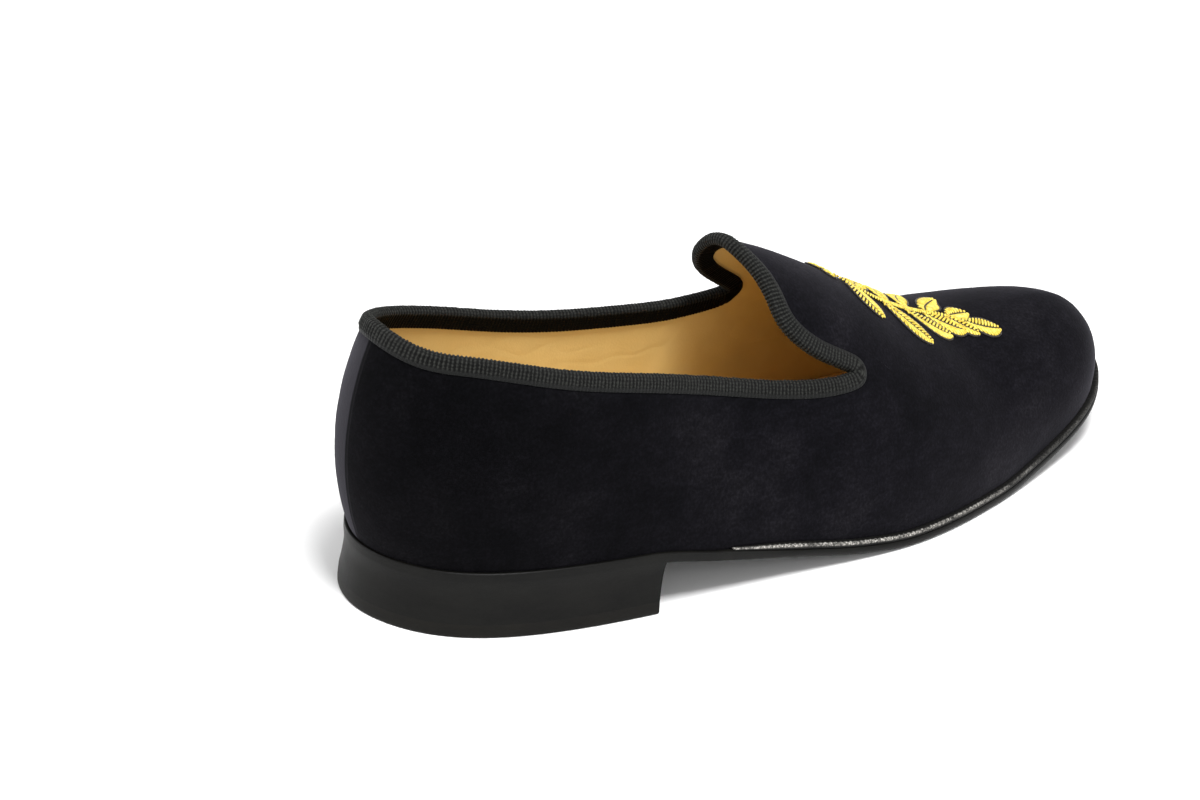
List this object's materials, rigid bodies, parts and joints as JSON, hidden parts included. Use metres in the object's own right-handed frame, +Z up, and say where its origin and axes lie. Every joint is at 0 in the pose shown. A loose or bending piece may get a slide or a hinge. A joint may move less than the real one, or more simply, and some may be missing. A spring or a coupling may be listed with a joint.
{
  "type": "velvet slipper loafer",
  "caption": "Right-foot velvet slipper loafer with a raised tongue, ribbed ribbon binding, tan lining, thin welted sole and low stacked heel.",
  "frame": {"origin": "on the floor under the middle of the shoe's bounding box", "axes": "+Z up, +Y from heel to toe, +X to the lateral (little toe) side"},
  "size_m": [0.0978, 0.2896, 0.094],
  "materials": {
    "outsole_material": "satin black edge",
    "welt_material": "wheeled",
    "heel_material": "satin black",
    "heel_top_piece_material": "matte",
    "insole_material": "smooth tan",
    "upper_material": "velvet pile",
    "binding_material": "ribbed ribbon"
  },
  "bodies": {
    "root": {"outsole": "outsole_material", "welt": "welt_material", "heel": "heel_material", "heel_top_piece": "heel_top_piece_material", "insole": "insole_material", "upper": "upper_material", "binding": "binding_material"}
  },
  "joints": []
}
